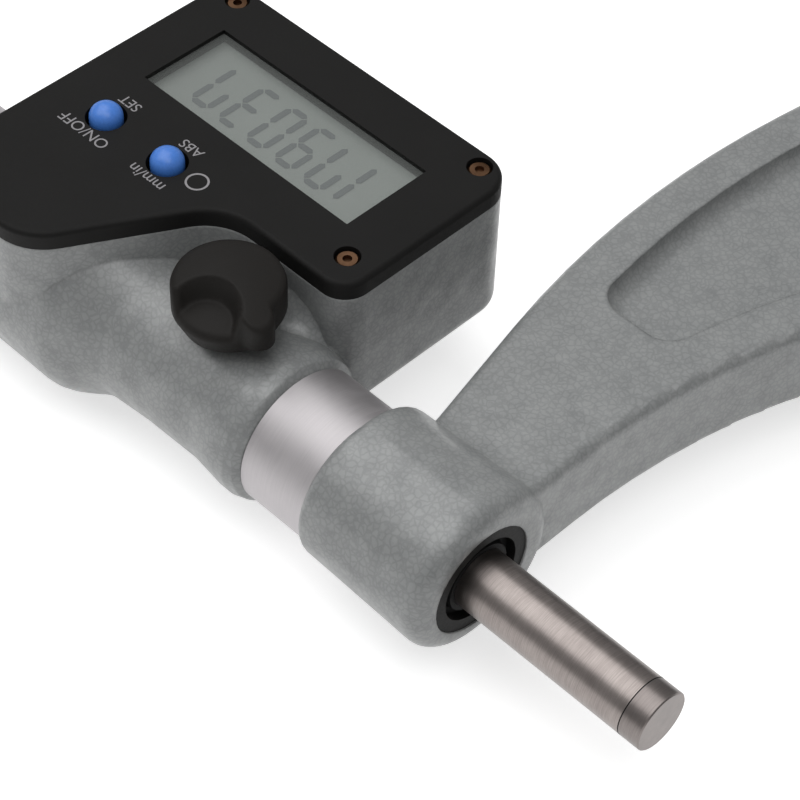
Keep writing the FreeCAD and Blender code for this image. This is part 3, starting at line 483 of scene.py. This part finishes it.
def build_web():
    """The soft casting web between the neck and the display box, round in section."""
    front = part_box("face_cover")[1].x - WEB_START
    points = []
    for along, radius in WEB_STATIONS:
        radius *= MM
        middle_y = NOTCH_WALL - radius
        middle_z = math.sqrt((NECK_RADIUS + radius) ** 2 - middle_y**2)
        last = math.atan2(-middle_z, -middle_y) + math.tau
        for step in range(WEB_STEPS + 1):
            angle = math.tau + (last - math.tau) * step / WEB_STEPS
            reach = radius + WEB_SINK
            across = middle_y + reach * math.cos(angle)
            points.append((front + along * MM, across, middle_z + reach * math.sin(angle)))
    row = WEB_STEPS + 1
    faces = []
    for station in range(len(WEB_STATIONS) - 1):
        for step in range(WEB_STEPS):
            corner = station * row + step
            faces.append((corner, corner + 1, corner + row + 1, corner + row))
    mesh_piece("neck_web", points, faces, ENAMEL, "head", "hammertone", smooth=True)


# Each bar of a digit: its centre across and up, in half widths and half heights, and whether it lies level.
SEGMENTS = {
    "top": (0, 1, True),
    "middle": (0, 0, True),
    "bottom": (0, -1, True),
    "high_left": (-1, 0.5, False),
    "high_right": (1, 0.5, False),
    "low_left": (-1, -0.5, False),
    "low_right": (1, -0.5, False),
}
LIT = {
    "0": ["top", "bottom", "high_left", "high_right", "low_left", "low_right"],
    "1": ["high_right", "low_right"],
    "3": ["top", "middle", "bottom", "high_right", "low_right"],
    "7": ["top", "high_right", "low_right", "high_left"],
    "9": ["top", "middle", "bottom", "high_left", "high_right", "low_right"],
}
DIGIT_HALF_WIDTH = 1.45 * MM
DIGIT_HALF_HEIGHT = 3.95 * MM
DIGIT_PITCH = 5.2 * MM
DIGIT_STROKE = 0.95 * MM
DIGIT_MARGIN = 4.5 * MM
DIGIT_CENTRE = 7.2 * MM
SEGMENT_GAP = 0.14 * MM
SEGMENT_LIFT = 0.05 * MM
READING = "179037"


def bar_corners(across, up, level):
    """The pointed bar of one segment in the digit's own plane."""
    centre = (across * DIGIT_HALF_WIDTH, up * DIGIT_HALF_HEIGHT)
    half = (DIGIT_HALF_WIDTH if level else DIGIT_HALF_HEIGHT / 2) - SEGMENT_GAP
    thick = DIGIT_STROKE / 2
    run = [(-half, 0), (-half + thick, thick), (half - thick, thick), (half, 0), (half - thick, -thick)]
    run.append((-half + thick, -thick))
    if not level:
        run = [(-rise, along) for along, rise in run]
    return [(centre[0] + x, centre[1] + y) for x, y in run]


def build_digits():
    """The number on the display, read with the measuring line above it."""
    low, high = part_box("display_window")
    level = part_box("display_panel")[1].z + SEGMENT_LIFT
    points = []
    faces = []
    for index, digit in enumerate(READING):
        centre_x = high.x - DIGIT_MARGIN - index * DIGIT_PITCH
        centre_y = low.y + DIGIT_CENTRE
        for name in LIT[digit]:
            start = len(points)
            corners = bar_corners(*SEGMENTS[name])
            points += [(centre_x - x, centre_y - y, level) for x, y in corners]
            faces.append(range(start, start + len(corners)))
    mesh_piece("display_digits", points, faces, SEGMENT, "head", "display_grey")


LEGEND_LIFT = 0.02 * MM
ICON_PLACE = (5.2 * MM, 0.3 * MM)
ICON_RADIUS = 1.55 * MM
ICON_STROKE = 0.28 * MM
ICON_SIDES = 48


def build_icon():
    """A plain printed ring beside the buttons."""
    low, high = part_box("right_button")
    centre = ((low.x + high.x) / 2 + ICON_PLACE[0], (low.y + high.y) / 2 + ICON_PLACE[1])
    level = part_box("face_cover")[1].z + LEGEND_LIFT
    points = ring_points(centre, ICON_RADIUS, level, ICON_SIDES)
    points += ring_points(centre, ICON_RADIUS - ICON_STROKE, level, ICON_SIDES)
    faces = []
    for number in range(ICON_SIDES):
        ahead = (number + 1) % ICON_SIDES
        faces.append((number, ahead, ICON_SIDES + ahead, ICON_SIDES + number))
    mesh_piece("legend_ring", points, faces, INK, "head", "display_grey")


LETTER_SCALE = 1.35
# Each word, its button, its place from the button's middle and its height, in millimetres.
LEGENDS = [
    ("ON/OFF", "left_button", (0, -3.6), 1.75),
    ("SET", "left_button", (0.2, 3.9), 1.6),
    ("mm/in", "right_button", (0.2, -3.6), 1.75),
    ("ABS", "right_button", (0.2, 3.9), 1.6),
]


def build_legends():
    """Plain printed words beside the buttons."""
    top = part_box("face_cover")[1].z + LEGEND_LIFT
    for words, button, (across, along), height in LEGENDS:
        low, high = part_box(button)
        curve = bpy.data.curves.new("legend", "FONT")
        curve.body = words
        curve.size = height * MM * LETTER_SCALE
        curve.align_x = "CENTER"
        curve.align_y = "CENTER"
        letters = bpy.data.objects.new("legend", curve)
        bpy.context.scene.collection.objects.link(letters)
        letters.location = ((low.x + high.x) / 2 + across * MM, (low.y + high.y) / 2 + along * MM, top)
        letters.rotation_euler = (0, 0, math.pi)
        bpy.context.view_layer.update()
        mesh = bpy.data.meshes.new_from_object(letters)
        mesh.transform(letters.matrix_world)
        bpy.data.objects.remove(letters)
        mesh.materials.clear()
        mesh.materials.append(INK)
        piece = bpy.data.objects.new("legend_" + "".join(c for c in words.lower() if c.isalpha()), mesh)
        bpy.context.scene.collection.objects.link(piece)
        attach(piece, "head")


# ---------------------------------------------------------------- stage


FLOOR_REACH = 6.0
FLOOR_DROP = 0.1 * MM
FLOOR_PAPER = (0.82, 0.82, 0.82, 1)
FLOOR_FADE_START = 0.25
FLOOR_FADE_END = 0.9
FLOOR_LIFT = 0.62


def build_floor():
    """A pale floor that keeps the shadow and looks white far away and in reflections."""
    size = FLOOR_REACH
    level = cad_low.z - FLOOR_DROP
    points = [(-size, -size, level), (size, -size, level), (size, size, level), (-size, size, level)]
    mesh = bpy.data.meshes.new("floor")
    mesh.from_pydata(points, [], [(0, 1, 2, 3)])
    floor = bpy.data.objects.new("floor", mesh)
    bpy.context.scene.collection.objects.link(floor)

    material, tree, shader = new_material("pale_floor")
    tree.nodes.remove(shader)
    rays = add_node(tree, "ShaderNodeLightPath").outputs
    straight = {0: rays["Is Camera Ray"], 1: rays["Is Glossy Ray"]}
    seen = add_node(tree, "ShaderNodeMath", straight, operation="ADD")
    through = {0: seen.outputs[0], 1: rays["Is Transmission Ray"]}
    seen = add_node(tree, "ShaderNodeMath", through, operation="ADD")
    seen.use_clamp = True
    paper = add_node(tree, "ShaderNodeBsdfDiffuse", {"Color": FLOOR_PAPER}).outputs["BSDF"]
    lift = add_node(tree, "ShaderNodeMath", {0: seen.outputs[0], 1: FLOOR_LIFT}, operation="MULTIPLY")
    glow = add_node(tree, "ShaderNodeEmission", {"Strength": lift.outputs[0]}).outputs["Emission"]
    near = add_node(tree, "ShaderNodeAddShader", {0: paper, 1: glow}).outputs["Shader"]
    far = add_node(tree, "ShaderNodeEmission", {"Strength": 1.0}).outputs["Emission"]
    where = add_node(tree, "ShaderNodeTexCoord").outputs["Object"]
    from_middle = add_node(
        tree, "ShaderNodeVectorMath", {0: where, 1: ((cad_low + cad_high) / 2)}, operation="DISTANCE"
    ).outputs["Value"]
    away = add_node(
        tree,
        "ShaderNodeMapRange",
        {"Value": from_middle, "From Min": FLOOR_FADE_START, "From Max": FLOOR_FADE_END},
        interpolation_type="SMOOTHSTEP",
    ).outputs["Result"]
    away = add_node(tree, "ShaderNodeMath", {0: away, 1: seen.outputs[0]}, operation="MULTIPLY").outputs[0]
    top = add_node(tree, "ShaderNodeMixShader", {0: away, 1: near, 2: far}).outputs["Shader"]
    behind = add_node(tree, "ShaderNodeNewGeometry").outputs["Backfacing"]
    clear = add_node(tree, "ShaderNodeBsdfTransparent").outputs["BSDF"]
    whole = add_node(tree, "ShaderNodeMixShader", {0: behind, 1: top, 2: clear}).outputs["Shader"]
    tree.links.new(whole, tree.nodes["Material Output"].inputs["Surface"])
    mesh.materials.append(material)


WORLD_FILL = 0.24
WORLD_MIRRORED = 0.36


def build_world():
    """An even dim room, white where the camera sees past the floor."""
    world = bpy.data.worlds.new("room")
    bpy.context.scene.world = world
    world.use_nodes = True
    tree = world.node_tree
    back = tree.nodes["Background"]
    rays = add_node(tree, "ShaderNodeLightPath").outputs
    bounced = {0: rays["Is Glossy Ray"], 1: rays["Is Transmission Ray"]}
    mirrored = add_node(tree, "ShaderNodeMath", bounced, operation="ADD")
    indoors = between(tree, mirrored.outputs[0], WORLD_FILL, WORLD_MIRRORED)
    strength = add_node(tree, "ShaderNodeMath", {0: rays["Is Camera Ray"], 1: indoors}, operation="MAXIMUM")
    tree.links.new(strength.outputs[0], back.inputs["Strength"])
    back.inputs["Color"].default_value = (1, 1, 1, 1)


def add_softbox(name, direction, distance, size, power, target):
    """A rectangular lamp that looks at the target."""
    light = bpy.data.lights.new(name, "AREA")
    light.shape = "RECTANGLE"
    light.size, light.size_y = size
    light.energy = power
    lamp = bpy.data.objects.new(name, light)
    bpy.context.scene.collection.objects.link(lamp)
    aim = Vector(direction).normalized()
    lamp.location = target + aim * distance
    lamp.rotation_euler = aim.to_track_quat("Z", "Y").to_euler()


def build_lights():
    """A broad key lamp and a small fill lamp, both high over the display's side."""
    middle = (cad_low + cad_high) / 2
    add_softbox("key", (-0.42, -0.12, 0.88), 0.9, (1.1, 0.85), 5.2, middle)
    add_softbox("fill", (0.28, -0.24, 0.93), 0.9, (0.45, 0.45), 1.5, middle)


CAMERA_PLACE = (-0.08988, -0.13847, 0.23130)
CAMERA_AZIMUTH = 43.42
CAMERA_ELEVATION = 47.97
CAMERA_ROLL = 2.21
CAMERA_LENS = 113.58
CAMERA_SENSOR = 36
CAMERA_NEAR = 0.01


def build_camera():
    """The camera looks down on the display, with the measuring line running away to the right."""
    azimuth = math.radians(CAMERA_AZIMUTH)
    elevation = math.radians(CAMERA_ELEVATION)
    roll = math.radians(CAMERA_ROLL)
    flat = math.cos(elevation)
    back = Vector((math.sin(azimuth) * flat, -math.cos(azimuth) * flat, math.sin(elevation)))
    level = Vector((math.cos(azimuth), math.sin(azimuth), 0))
    upright = back.cross(level)
    right = math.cos(roll) * level + math.sin(roll) * upright
    up = math.cos(roll) * upright - math.sin(roll) * level
    data = bpy.data.cameras.new("camera")
    data.lens = CAMERA_LENS
    data.sensor_width = CAMERA_SENSOR
    data.clip_start = CAMERA_NEAR
    camera = bpy.data.objects.new("camera", data)
    bpy.context.scene.collection.objects.link(camera)
    turn = Matrix((right, up, back)).transposed().to_4x4()
    camera.matrix_world = Matrix.Translation(CAMERA_PLACE) @ turn
    bpy.context.scene.camera = camera


dress_nodes()
build_digits()
build_legends()
build_icon()
build_buttons()
build_knob()
build_web()
build_joint("spindle_joint", "spindle_tip", -1, "spindle")
build_joint("anvil_joint", "anvil_tip", 1, "head")
build_floor()
build_world()
build_lights()
build_camera()
bpy.context.scene.view_settings.view_transform = "Standard"
